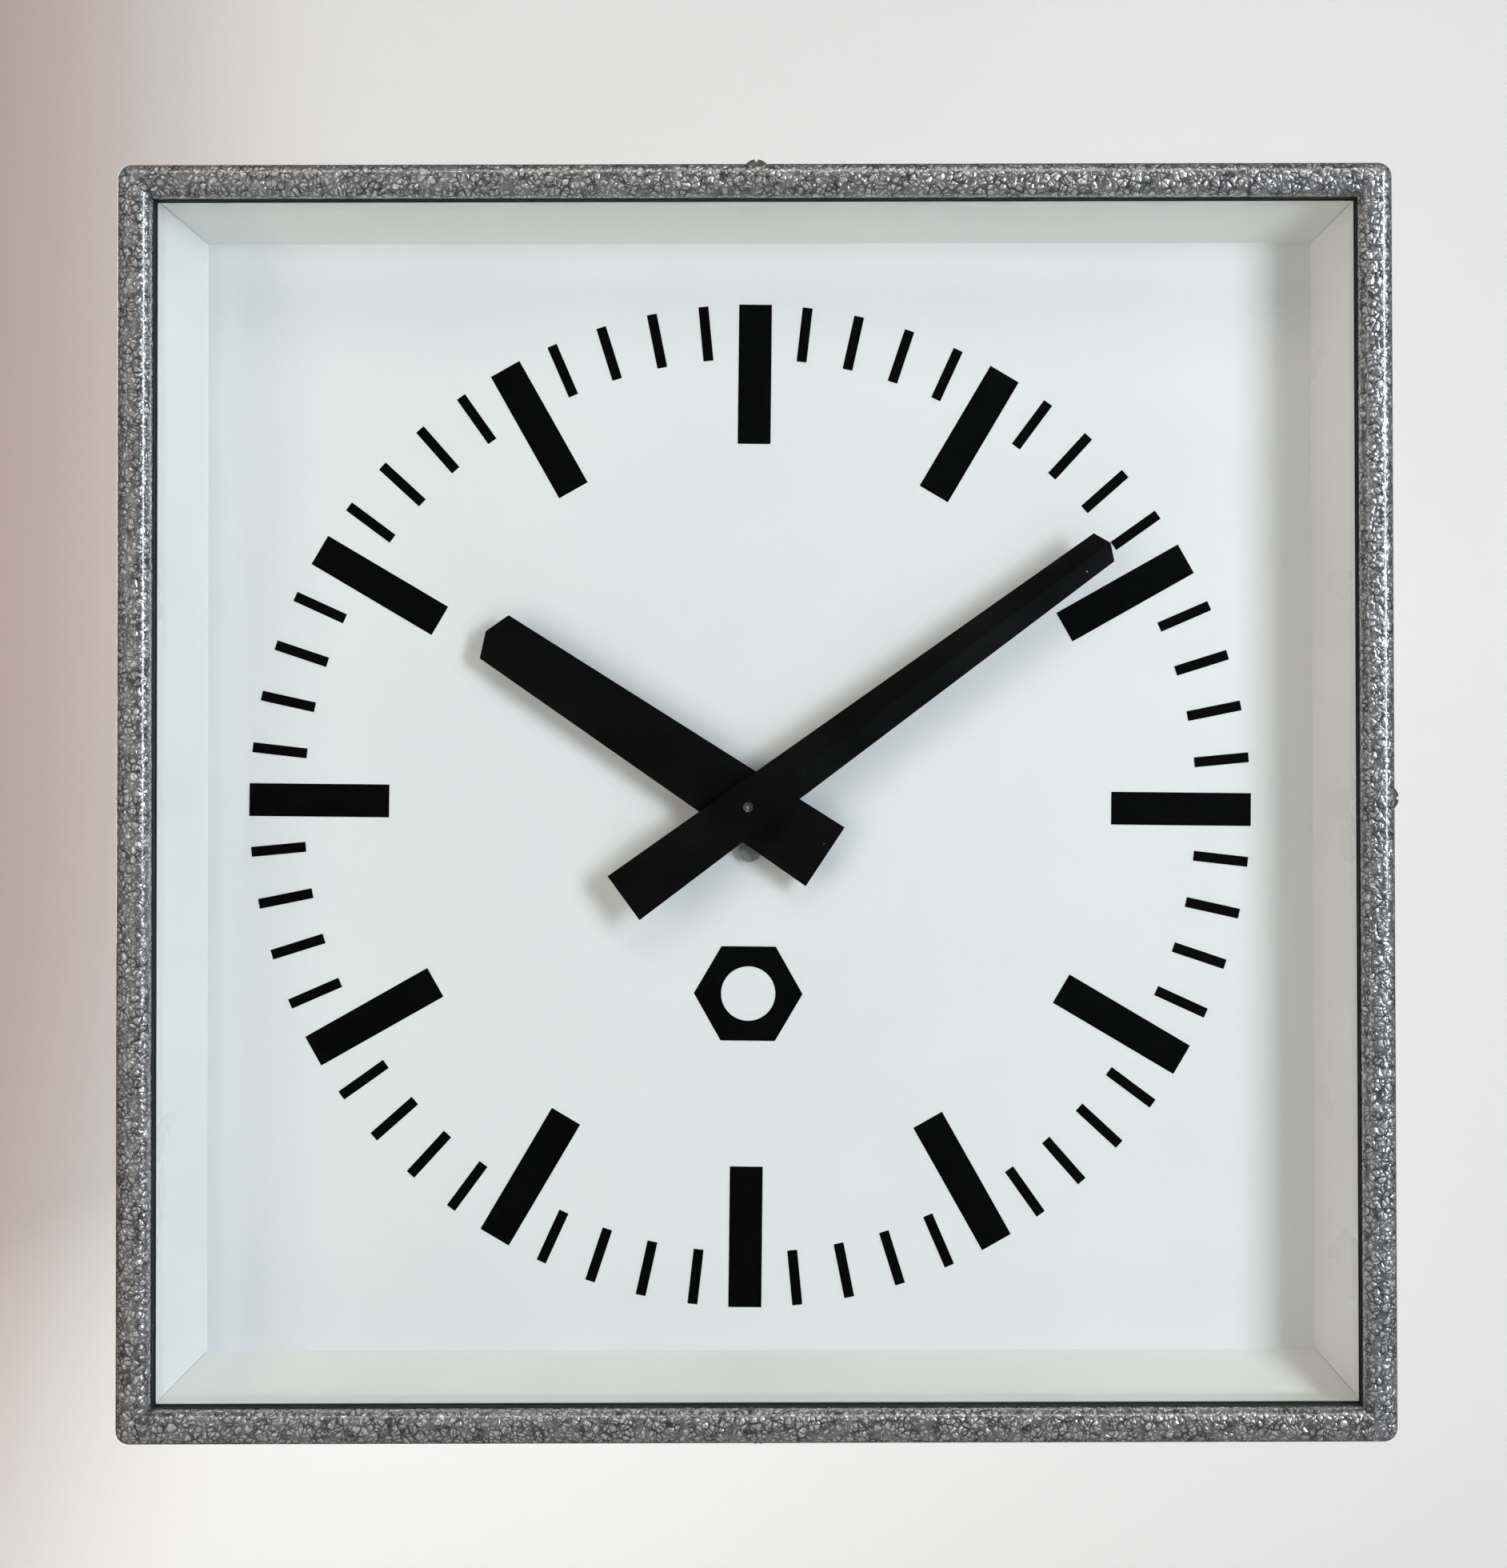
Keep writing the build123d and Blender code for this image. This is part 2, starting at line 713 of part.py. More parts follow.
def make_plates():
    """The two plates, the bushes of the minute arbor, the pillars and their screws."""
    width = 2 * plate_half_width
    pivots = [step_centre, rotor_centre]
    plates = {}
    spans = {
        "movement_front_plate": (front_plate_bottom, plate_front, train_front),
        "movement_back_plate": (pole_bottom, train_back, back_plate_back),
    }
    for name, (bottom, front, back) in spans.items():
        outline = Pos(0, (plate_top + bottom) / 2) * RectangleRounded(
            width, plate_top - bottom, plate_corner_radius
        )
        plate = layer(outline, front, back) - rod(bush_radius, front, back)
        plate -= [rod(train_pivot_radius + running_gap, front, back, pivot) for pivot in pivots]
        plates[name] = plate
    screw_drills = [
        rod(plate_screw_radius, train_back - 4, back_plate_back, place) for place in pillar_places()
    ]
    pillars = [
        rod(pillar_radius, train_front, train_back, place) - screw_drills
        for place in pillar_places()
    ]
    plates["movement_back_plate"] -= screw_drills + pole_screw_rods(plate_screw_radius)
    screw = slotted_screw(plate_screw_head_radius, plate_screw_head_height, plate_screw_radius,
                          plate_sheet + 3)
    bore = minute_arbor_radius + running_gap
    bushes = {
        "front_bush": tube(bush_radius, bore, plate_front, train_front)
        + tube(bush_flange_radius, bore, train_front, train_front + bush_flange),
        "back_bush": tube(bush_radius, bore, train_back, back_plate_back)
        + tube(bush_flange_radius, bore, train_back - bush_flange, train_back),
    }
    return {
        **plates,
        **bushes,
        "movement_pillars": pillars,
        "plate_screws": [facing_back(screw, x, z, back_plate_back) for x, z in pillar_places()],
    }


def facing_back(part, x, z, depth):
    """Stand a piece built along Z on a depth, so that its top looks at the wall."""
    return Pos(x, depth - case_depth, z) * Rot(-90, 0, 0) * part


def pole_screw_places():
    return [(x, rotor_centre[1]) for x in (-pole_screw_across, pole_screw_across)]


def pole_screw_rods(radius):
    return [rod(radius, pole_front, back_plate_back, place) for place in pole_screw_places()]


def make_magnet_circuit():
    """Two pole pieces round the magnet, and the coil whose core joins their legs."""
    leg_bottom = coil_height - core_height / 2
    pole_top = rotor_centre[1] + pole_half_height
    reach = pole_half_width - pole_split
    cheek = Pos(pole_split + reach / 2, rotor_centre[1]) * Rectangle(reach, 2 * pole_half_height)
    leg_height = pole_top - leg_bottom
    leg = Pos(pole_half_width - pole_leg / 2, pole_top - leg_height / 2) * Rectangle(
        pole_leg, leg_height
    )
    window = Pos(*rotor_centre) * Circle(magnet_radius + air_gap)
    outline = cheek + leg - window
    screws = pole_screw_rods(plate_screw_radius)
    right = layer(outline, pole_front, train_back) - screws
    left = layer(mirror(outline, Plane.YZ), pole_front, train_back) - screws
    middle = (pole_front + train_back) / 2 - case_depth
    core_length = 2 * (pole_half_width - pole_leg)
    core = Pos(0, middle, coil_height) * Box(core_length, pole_stack, core_height)
    sleeve = Box(
        2 * bobbin_half_length, pole_stack + 2 * bobbin_wall, core_height + 2 * bobbin_wall
    )
    flange = Box(bobbin_wall, 2 * bobbin_half_side, 2 * bobbin_half_side)
    flange_at = bobbin_half_length - bobbin_wall / 2
    bobbin = sleeve + Pos(flange_at, 0, 0) * flange + Pos(-flange_at, 0, 0) * flange
    bobbin = Pos(0, middle, coil_height) * bobbin - core
    turns = Rot(0, 90, 0) * Cylinder(winding_radius, 2 * (bobbin_half_length - bobbin_wall))
    screw = slotted_screw(plate_screw_head_radius, plate_screw_head_height, plate_screw_radius,
                          plate_sheet + pole_stack)
    return {
        "pole_piece_right": right,
        "pole_piece_left": left,
        "coil_core": core,
        "coil_bobbin": bobbin,
        "coil_winding": Pos(0, middle, coil_height) * (turns - sleeve),
        "pole_screws": [
            facing_back(screw, x, z, back_plate_back) for x, z in pole_screw_places()
        ],
    }


def keyhole(gap=0.0):
    """A round entry with a slot above it, each grown by a gap."""
    slot_width = keyhole_slot_width + 2 * gap
    slot = Pos(0, keyhole_rise / 2) * Rectangle(slot_width, keyhole_rise)
    end = Pos(0, keyhole_rise) * Circle(slot_width / 2)
    return Pos(0, keyhole_height) * (Circle(keyhole_radius + gap) + slot + end)


def make_back_panel():
    """Flat sheet on the wall, with the keyhole and four more holes for wall screws."""
    sheet = rounded_box(case_inset, floor, case_depth)
    sheet = fillet(back_face(sheet).edges(), case_back_radius)
    wall_holes = GridLocations(wall_hole_spacing_x, wall_hole_spacing_z, 2, 2) * Circle(
        wall_hole_radius
    )
    return sheet - layer(keyhole() + wall_holes, floor, case_depth)


def make_case_walls():
    """Four walls that stand on the back panel and carry the frame, mitred at the corners."""

    def place(half_span, half_length):
        return mitred_side(half_span, half_length, case_front, floor)

    ring = rounded_box(case_inset, case_front, floor) - rounded_box(inner_inset, case_front, floor)
    ring -= frame_screw_holes(frame_screw_radius)
    ring -= grommet_drill(grommet_neck_radius)
    return {f"case_wall_{side}": ring & block for side, block in named_sides(place).items()}


def make_hanger_plate():
    """Stiffening plate behind the keyhole, inside the case."""
    outline = Pos(0, keyhole_height + keyhole_rise / 2) * RectangleRounded(
        hanger_width, hanger_height, 4
    )
    return layer(outline - keyhole(hanger_keyhole_gap), floor - hanger_sheet, floor)


def grommet_drill(radius):
    """A drill through the case's bottom wall, where the supply cable would enter."""
    length = case_sheet + 4 * grommet_flange
    return Pos(0, -grommet_from_wall, case_inset - half_height) * Cylinder(radius, length)


def make_cable_grommet():
    """Rubber ring with a groove that the edge of the hole sits in."""
    wall_middle = inner_inset - case_sheet / 2 - half_height
    ring = Cylinder(grommet_flange_radius, case_sheet + 2 * grommet_flange)
    ring = fillet(ring.edges().filter_by(GeomType.CIRCLE), grommet_flange / 3)
    groove = Cylinder(grommet_flange_radius, case_sheet) - Cylinder(grommet_neck_radius, case_sheet)
    place = Pos(0, -grommet_from_wall, wall_middle)
    return place * (ring - groove) - grommet_drill(grommet_bore_radius)


def make_terminals():
    """Two-way terminal block on the case's back, its screws, and the leads from the coil."""
    block_front = floor - terminal_depth
    places = [(x, -terminal_drop) for x in (-terminal_spacing / 2, terminal_spacing / 2)]
    outline = Pos(0, -terminal_drop) * RectangleRounded(terminal_width, terminal_height, 2)
    reach = terminal_depth / 2
    block = layer(outline, block_front, floor)
    block -= [rod(terminal_screw_radius, block_front, block_front + reach, at) for at in places]
    screw = slotted_screw(
        terminal_screw_head_radius, terminal_screw_head_height, terminal_screw_radius, reach
    )
    return {
        "terminal_block": block,
        "terminal_screws": [facing_front(screw, x, z, block_front) for x, z in places],
        "coil_leads": [make_lead(side, block_front) for side in (-1, 1)],
    }


def make_lead(side, block_front):
    """One insulated lead, from the coil's lower face to the top of the terminal block."""
    coil_x = dial_axis_x + side * lead_spacing / 2
    block_x = side * lead_spacing / 2
    coil_y = (pole_front + train_back) / 2 - case_depth
    block_y = block_front + terminal_depth / 2 - case_depth
    top = dial_axis_z + coil_height - bobbin_half_side
    bottom = terminal_height / 2 - terminal_drop
    drop = (top - bottom) / 3
    path = FilletPolyline(
        (coil_x, coil_y, top),
        (coil_x, coil_y, top - drop),
        (block_x, block_y, bottom + drop),
        (block_x, block_y, bottom),
        radius=lead_bend,
    )
    return sweep(Plane(path @ 0, z_dir=path % 0) * Circle(lead_radius), path=path)


def make_everything():
    """Every node's name with its piece, or with the list of its like pieces."""
    bosses = {
        "hour_hand_boss": tube(
            hour_boss_radius, hour_pipe_radius, hour_hand_back, hour_hand_back + hour_boss_length
        ),
        "minute_hand_boss": tube(
            minute_boss_radius, minute_arbor_radius, minute_hand_back,
            minute_hand_back + minute_boss_length,
        ),
    }
    about_the_hands = {
        "hour_hand": make_hour_hand(),
        "minute_hand": make_minute_hand(),
        **bosses,
        "minute_arbor": make_minute_arbor(),
        "hour_wheel": make_hour_wheel(),
        **make_motion_work(),
        **make_train(),
        **make_plates(),
        **make_magnet_circuit(),
        "movement_screws": make_movement_screws(),
        "movement_standoffs": make_standoffs(),
    }
    about_the_case = {
        "front_frame": make_front_frame(),
        "frame_screws": make_frame_screws(),
        "glass_pane": make_glass_pane(),
        "glass_gasket": make_glass_gasket(),
        **make_liner(),
        "dial_plate": make_dial_plate(),
        "dial_markings": make_dial_markings(),
        "dial_brackets": make_dial_brackets(),
        "dial_screws": make_dial_screws(),
        "dial_nuts": make_dial_nuts(),
        "back_panel": make_back_panel(),
        **make_case_walls(),
        "hanger_plate": make_hanger_plate(),
        "cable_grommet": make_cable_grommet(),
        **make_terminals(),
    }
    moved = {
        name: [on_axis(piece) for piece in pieces] if isinstance(pieces, list) else on_axis(pieces)
        for name, pieces in about_the_hands.items()
    }
    return {**about_the_case, **moved}


os.makedirs("parts", exist_ok=True)
for name, pieces in make_everything().items():
    if isinstance(pieces, list):
        pieces = Compound(children=pieces)
    export_step(pieces, f"parts/{name}.step")
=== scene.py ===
"""Square works clock: finishes, lamps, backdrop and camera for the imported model.

Lengths are in metres in the model's own frame: +Z up, +X to the right of the reader, and the dial
faces -Y. Angles are in degrees and colours are linear RGB.
"""

import json
import math

import bpy
from mathutils import Matrix, Vector


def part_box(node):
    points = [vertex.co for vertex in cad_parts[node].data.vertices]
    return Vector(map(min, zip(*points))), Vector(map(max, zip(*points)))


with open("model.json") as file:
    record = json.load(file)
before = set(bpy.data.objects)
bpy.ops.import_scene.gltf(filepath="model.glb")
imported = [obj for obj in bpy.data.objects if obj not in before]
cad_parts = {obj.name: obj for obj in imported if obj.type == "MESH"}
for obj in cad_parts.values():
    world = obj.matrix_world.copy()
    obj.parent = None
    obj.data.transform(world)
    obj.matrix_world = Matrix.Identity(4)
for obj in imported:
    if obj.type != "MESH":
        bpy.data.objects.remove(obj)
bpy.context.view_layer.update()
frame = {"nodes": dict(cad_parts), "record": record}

MM = 0.001

# The middle of a noise's values, where nearly all of them lie
NOISE_RANGE = (0.3, 0.7)

# Camera: its place, its turn away from straight on, its lens and its shift
CAMERA_RIGHT = 0.0407
CAMERA_UP = 0.0535
CAMERA_DISTANCE = 0.8
CAMERA_YAW = 0.06
CAMERA_PITCH = 0.73
CAMERA_ROLL = -0.12
CAMERA_LENS = 54.8
CAMERA_SHIFT = (-0.08, -0.11)

# Backdrop: a floor, a wall behind the clock and the sweep between them
FLOOR_BELOW = 1.1
FLOOR_SIZE = 12.0
BACKDROP_BEHIND = 2.6
BACKDROP_HEIGHT = 6.0
SWEEP_RADIUS = 1.2
SWEEP_STEPS = 24

# The backdrop carries a painted shade, warm and darker, to the left of the first X, and is pale to
# the right of the second
PAINTED_SHADE_TO_PALE = (-1.3, -0.7)

# The backdrop glows from the first Y to the wall, by the first strength up to the second
GLOW_FROM = 0.6
GLOW_STRENGTH = (0.03, 0.5)

# World: how bright the camera sees it, and its light on the clock. Between the two Y directions
# the light grows from the first strength, straight in front, to the second, at the sides.
SEEN_WORLD = 0.78
WORLD_DIRECTIONS = (-0.9, -0.35)
WORLD_STRENGTHS = (0.002, 0.11)


def colour(red, green, blue):
    return (red, green, blue, 1.0)


def grey(value):
    return colour(value, value, value)


def set_range(node, low, high, new_low, new_high):
    """Set the two ranges of a Map Range node."""
    node.inputs["From Min"].default_value = low
    node.inputs["From Max"].default_value = high
    node.inputs["To Min"].default_value = new_low
    node.inputs["To Max"].default_value = new_high


class Finish:
    """A material with one Principled shader, and short calls that add nodes to it."""

    def __init__(self, name, **sockets):
        self.material = bpy.data.materials.new(name)
        self.material.use_nodes = True
        self.tree = self.material.node_tree
        self.shader = self.tree.nodes["Principled BSDF"]
        self.output = self.tree.nodes["Material Output"]
        for socket, value in sockets.items():
            self.shader.inputs[socket.replace("_", " ")].default_value = value
        self.place = self.add("ShaderNodeTexCoord").outputs["Object"]

    def add(self, kind, **settings):
        node = self.tree.nodes.new(kind)
        for setting, value in settings.items():
            setattr(node, setting, value)
        return node

    def feed(self, socket, source):
        """Link a node's output to an input, or set the input to a plain value."""
        if isinstance(source, bpy.types.NodeSocket):
            self.tree.links.new(source, socket)
        else:
            socket.default_value = source

    def drive(self, socket, source):
        self.feed(self.shader.inputs[socket], source)

    def stretched(self, x, y, z):
        """Coordinates scaled along each axis."""
        node = self.add("ShaderNodeMapping")
        node.inputs["Scale"].default_value = (x, y, z)
        self.feed(node.inputs["Vector"], self.place)
        return node.outputs["Vector"]

    def wobbled(self, cell, amount):
        """Coordinates pushed about by a noise, so that patterns lose their regularity."""
        noise = self.noise(cell, detail=1.0, output="Color")
        centred = self.add("ShaderNodeVectorMath", operation="SUBTRACT")
        self.feed(centred.inputs[0], noise)
        centred.inputs[1].default_value = (0.5, 0.5, 0.5)
        scaled = self.add("ShaderNodeVectorMath", operation="SCALE")
        self.feed(scaled.inputs[0], centred.outputs[0])
        scaled.inputs["Scale"].default_value = amount
        moved = self.add("ShaderNodeVectorMath", operation="ADD")
        self.feed(moved.inputs[0], self.place)
        self.feed(moved.inputs[1], scaled.outputs[0])
        return moved.outputs[0]

    def noise(self, cell, detail=2.0, rough=0.5, place=None, output="Fac"):
        """Noise whose blotches are about one cell wide."""
        node = self.add("ShaderNodeTexNoise")
        self.feed(node.inputs["Vector"], place or self.place)
        node.inputs["Scale"].default_value = 1.0 / cell
        node.inputs["Detail"].default_value = detail
        node.inputs["Roughness"].default_value = rough
        return node.outputs[output]

    def cells(self, cell, feature="F1", place=None, output="Distance"):
        """Irregular cells, about one cell wide."""
        node = self.add("ShaderNodeTexVoronoi", feature=feature)
        self.feed(node.inputs["Vector"], place or self.place)
        node.inputs["Scale"].default_value = 1.0 / cell
        return node.outputs[output]

    def waves(self, width, direction="X", distortion=0.0):
        """Stripes of one width across a direction."""
        node = self.add("ShaderNodeTexWave", bands_direction=direction)
        self.feed(node.inputs["Vector"], self.place)
        node.inputs["Scale"].default_value = math.pi / (10.0 * width)
        node.inputs["Distortion"].default_value = distortion
        return node.outputs["Fac"]

    def levels(self, source, low, high, new_low=0.0, new_high=1.0, smooth=False):
        """Stretch a value from one range to another."""
        node = self.add("ShaderNodeMapRange")
        node.interpolation_type = "SMOOTHSTEP" if smooth else "LINEAR"
        self.feed(node.inputs["Value"], source)
        set_range(node, low, high, new_low, new_high)
        return node.outputs["Result"]

    def spread(self, noise, new_low=0.0, new_high=1.0):
        """Stretch the middle of a noise over a whole range."""
        return self.levels(noise, *NOISE_RANGE, new_low, new_high)

    def combine(self, operation, first, second):
        """The sum, product or other arithmetic of two values."""
        node = self.add("ShaderNodeMath", operation=operation)
        self.feed(node.inputs[0], first)
        self.feed(node.inputs[1], second)
        return node.outputs[0]

    def blend(self, factor, first, second):
        """A mix of two colours."""
        node = self.add("ShaderNodeMix", data_type="RGBA")
        self.feed(node.inputs["Factor"], factor)
        self.feed(node.inputs["A"], first)
        self.feed(node.inputs["B"], second)
        return node.outputs["Result"]

    def relief(self, height, depth, under=None):
        """Bump of a real depth in metres, on top of another bump if one is given."""
        node = self.add("ShaderNodeBump")
        self.feed(node.inputs["Height"], height)
        node.inputs["Distance"].default_value = depth
        if under is not None:
            self.feed(node.inputs["Normal"], under)
        return node.outputs["Normal"]


def hammered_paint():
    """Silver-grey hammer lacquer: small pebbles of mixed size and tone, with soft dark seams."""
    paint = Finish("hammered_paint", Metallic=0.5, Coat_Weight=0.7, Coat_Roughness=0.12)
    place = paint.wobbled(3.0 * MM, 1.8 * MM)
    coarse = paint.cells(3.4 * MM, "DISTANCE_TO_EDGE", place)
    small = paint.cells(2.1 * MM, "DISTANCE_TO_EDGE", place)
    pebble = paint.cells(2.1 * MM, "F1", place, "Color")
    patches = paint.levels(paint.noise(5 * MM), 0.35, 0.65, 0.0, 0.4, smooth=True)
    seam = paint.combine(
        "MULTIPLY",
        paint.levels(coarse, 0.0, 0.14, 0.1, 1.0, smooth=True),
        paint.levels(small, 0.0, 0.2, 0.15, 1.0, smooth=True),
    )
    seam = paint.combine("MAXIMUM", seam, patches)
    dome = paint.combine(
        "ADD",
        paint.levels(coarse, 0.0, 0.4, smooth=True),
        paint.levels(small, 0.0, 0.45, 0.0, 0.8, smooth=True),
    )
    fine = paint.noise(0.4 * MM, detail=3.0, rough=0.65)
    cloud = paint.noise(9 * MM, detail=3.0)
    tone = paint.blend(cloud, colour(0.36, 0.36, 0.365), colour(0.55, 0.55, 0.555))
    tone = paint.blend(paint.levels(pebble, 0.2, 0.8, 0.0, 0.45), tone, grey(0.74))
    tone = paint.blend(seam, colour(0.04, 0.04, 0.042), tone)
    paint.drive("Base Color", tone)
    paint.drive("Roughness", paint.spread(fine, 0.2, 0.34))
    pebbles = paint.relief(dome, 0.2 * MM)
    paint.drive("Normal", paint.relief(fine, 0.02 * MM, under=pebbles))
    return paint.material


def liner_enamel():
    """White stove enamel with a slight orange peel and faint handling marks."""
    enamel = Finish("liner_enamel", Coat_Weight=0.35, Coat_Roughness=0.12)
    peel = enamel.noise(1.8 * MM, detail=2.0)
    cloud = enamel.noise(60 * MM, detail=3.0)
    tone = enamel.blend(
        enamel.spread(cloud), colour(0.76, 0.765, 0.75), colour(0.80, 0.805, 0.79)
    )
    enamel.drive("Base Color", tone)
    enamel.drive("Roughness", enamel.spread(cloud, 0.26, 0.36))
    enamel.drive("Normal", enamel.relief(peel, 0.012 * MM))
    return enamel.material


def dial_enamel():
    """Cool white satin enamel on the dial sheet."""
    enamel = Finish("dial_enamel", Specular_IOR_Level=0.4)
    grain = enamel.noise(0.6 * MM, detail=2.0)
    cloud = enamel.noise(90 * MM, detail=2.0)
    tone = enamel.blend(
        enamel.spread(cloud), colour(0.765, 0.785, 0.795), colour(0.80, 0.815, 0.825)
    )
    enamel.drive("Base Color", tone)
    enamel.drive("Roughness", enamel.spread(grain, 0.42, 0.52))
    enamel.drive("Normal", enamel.relief(grain, 0.006 * MM))
    return enamel.material


def printing_ink():
    """Dense black screen ink with a faint mottle."""
    ink = Finish("ink", Specular_IOR_Level=0.03)
    mottle = ink.noise(3 * MM, detail=4.0, rough=0.7)
    tone = ink.blend(mottle, colour(0.0008, 0.0008, 0.0009), colour(0.002, 0.002, 0.0021))
    ink.drive("Base Color", tone)
    ink.drive("Roughness", ink.spread(mottle, 0.42, 0.6))
    ink.drive("Normal", ink.relief(mottle, 0.006 * MM))
    return ink.material


def hand_paint():
    """Satin black paint, slightly uneven, with a few specks of dust."""
    paint = Finish("hand_paint", Specular_IOR_Level=0.08)
    cloud = paint.noise(22 * MM, detail=3.0)
    grain = paint.noise(0.35 * MM, detail=3.0, rough=0.7)
    dust = paint.levels(paint.cells(11 * MM), 0.018, 0.03, 1.0, 0.0)
    tone = paint.blend(cloud, colour(0.0008, 0.0008, 0.001), colour(0.003, 0.0028, 0.0028))
    paint.drive("Base Color", paint.blend(dust, tone, grey(0.5)))
    paint.drive("Roughness", paint.spread(cloud, 0.34, 0.5))
    paint.drive("Normal", paint.relief(grain, 0.008 * MM))
    return paint.material


def clear_glass():
    """Float glass with faint smears. Light that falls through it goes straight to the dial."""
    glass = Finish("clear_glass", Transmission_Weight=1.0, IOR=1.5)
    glass.drive("Base Color", colour(0.985, 1.0, 0.992))
    smear = glass.noise(70 * MM, detail=3.0)
    glass.drive("Roughness", glass.levels(smear, 0.45, 0.8, 0.0, 0.012))
    clear = glass.add("ShaderNodeBsdfTransparent")
    glass.feed(clear.inputs["Color"], colour(0.97, 0.98, 0.975))
    path = glass.add("ShaderNodeLightPath")
    lighting = path.outputs["Is Shadow Ray"], path.outputs["Is Diffuse Ray"]
    passing = glass.combine("MAXIMUM", *lighting)
    mix = glass.add("ShaderNodeMixShader")
    glass.feed(mix.inputs["Fac"], passing)
    glass.feed(mix.inputs[1], glass.shader.outputs["BSDF"])
    glass.feed(mix.inputs[2], clear.outputs["BSDF"])
    glass.feed(glass.output.inputs["Surface"], mix.outputs["Shader"])
    return glass.material


def black_rubber():
    """Dull extruded rubber with a bloom of dust."""
    rubber = Finish("black_rubber", Specular_IOR_Level=0.3)
    bloom = rubber.noise(6 * MM, detail=4.0, rough=0.6)
    tone = rubber.blend(bloom, colour(0.008, 0.009, 0.009), colour(0.03, 0.033, 0.033))
    rubber.drive("Base Color", tone)
    rubber.drive("Roughness", rubber.spread(bloom, 0.6, 0.8))
    rubber.drive("Normal", rubber.relief(rubber.noise(0.4 * MM, detail=2.0), 0.01 * MM))
    return rubber.material


def zinc_steel():
    """Zinc-plated screws: dull silver with a slight spangle and darker recesses."""
    zinc = Finish("zinc_steel", Metallic=1.0)
    spangle = zinc.cells(0.9 * MM, "F1", output="Color")
    stain = zinc.noise(1.5 * MM, detail=4.0)
    tone = zinc.blend(spangle, colour(0.42, 0.42, 0.40), colour(0.62, 0.62, 0.60))
    tone = zinc.blend(zinc.levels(stain, 0.5, 0.8, 0.0, 0.6), tone, colour(0.16, 0.15, 0.13))
    zinc.drive("Base Color", tone)
    zinc.drive("Roughness", zinc.spread(stain, 0.28, 0.5))
    zinc.drive("Normal", zinc.relief(stain, 0.01 * MM))
    return zinc.material


def turned_steel():
    """Arbors and pinions: bright steel with fine turning marks along the axis."""
    steel = Finish("bright_steel", Metallic=1.0)
    rings = steel.waves(0.12 * MM, "Y", 0.4)
    wear = steel.noise(2 * MM, detail=3.0)
    steel.drive("Base Color", steel.blend(wear, colour(0.52, 0.52, 0.53), colour(0.68, 0.68, 0.69)))
    steel.drive("Roughness", steel.spread(wear, 0.16, 0.3))
    steel.drive("Normal", steel.relief(rings, 0.004 * MM))
    return steel.material


def sheet_steel():
    """Plain zinc-plated sheet with rolling lines and a soft spangle."""
    steel = Finish("sheet_steel", Metallic=1.0)
    rolled = steel.noise(1.2 * MM, detail=3.0, place=steel.stretched(0.04, 1.0, 1.0))
    spangle = steel.cells(9 * MM, "F1", steel.wobbled(5 * MM, 4 * MM), "Color")
    tone = steel.blend(spangle, colour(0.40, 0.40, 0.39), colour(0.56, 0.56, 0.55))
    steel.drive("Base Color", tone)
    steel.drive("Roughness", steel.spread(rolled, 0.34, 0.5))
    steel.drive("Normal", steel.relief(rolled, 0.006 * MM))
    return steel.material


def brass():
    """Lacquered clock brass with straight graining and a little tarnish."""
    metal = Finish("brass", Metallic=1.0)
    grain = metal.noise(0.5 * MM, detail=3.0, place=metal.stretched(1.0, 1.0, 0.05))
    tarnish = metal.noise(7 * MM, detail=4.0)
    tone = metal.blend(
        metal.levels(tarnish, 0.45, 0.8), colour(0.66, 0.47, 0.19), colour(0.40, 0.25, 0.09)
    )
    metal.drive("Base Color", tone)
    metal.drive("Roughness", metal.spread(grain, 0.22, 0.36))
    metal.drive("Normal", metal.relief(grain, 0.004 * MM))
    return metal.material


def sintered_magnet():
    """Ground sintered magnet, dark grey and slightly granular."""
    magnet = Finish("magnet", Metallic=0.7)
    grain = magnet.noise(0.3 * MM, detail=4.0, rough=0.7)
    magnet.drive("Base Color", magnet.blend(grain, grey(0.03), grey(0.09)))
    magnet.drive("Roughness", magnet.spread(grain, 0.4, 0.62))
    magnet.drive("Normal", magnet.relief(grain, 0.01 * MM))
    return magnet.material


def laminations():
    """Stacked sheet iron: thin layers along the depth with dark lines between them."""
    iron = Finish("laminations", Metallic=0.9)
    layers = iron.waves(0.5 * MM, "Y", 0.2)
    line = iron.levels(layers, 0.0, 0.25)
    rust = iron.noise(3 * MM, detail=4.0)
    tone = iron.blend(line, grey(0.03), colour(0.30, 0.30, 0.31))
    tone = iron.blend(iron.levels(rust, 0.55, 0.8, 0.0, 0.5), tone, colour(0.16, 0.08, 0.04))
    iron.drive("Base Color", tone)
    iron.drive("Roughness", iron.spread(rust, 0.38, 0.6))
    iron.drive("Normal", iron.relief(line, 0.05 * MM))
    return iron.material


def bobbin_plastic():
    """Cream moulded plastic, a little yellowed."""
    plastic = Finish("bobbin_plastic", Subsurface_Weight=0.05)
    cloud = plastic.noise(8 * MM, detail=3.0)
    tone = plastic.blend(cloud, colour(0.62, 0.55, 0.40), colour(0.70, 0.64, 0.50))
    plastic.drive("Base Color", tone)
    plastic.drive("Roughness", plastic.spread(cloud, 0.38, 0.5))
    plastic.drive("Normal", plastic.relief(plastic.noise(0.5 * MM), 0.01 * MM))
    return plastic.material


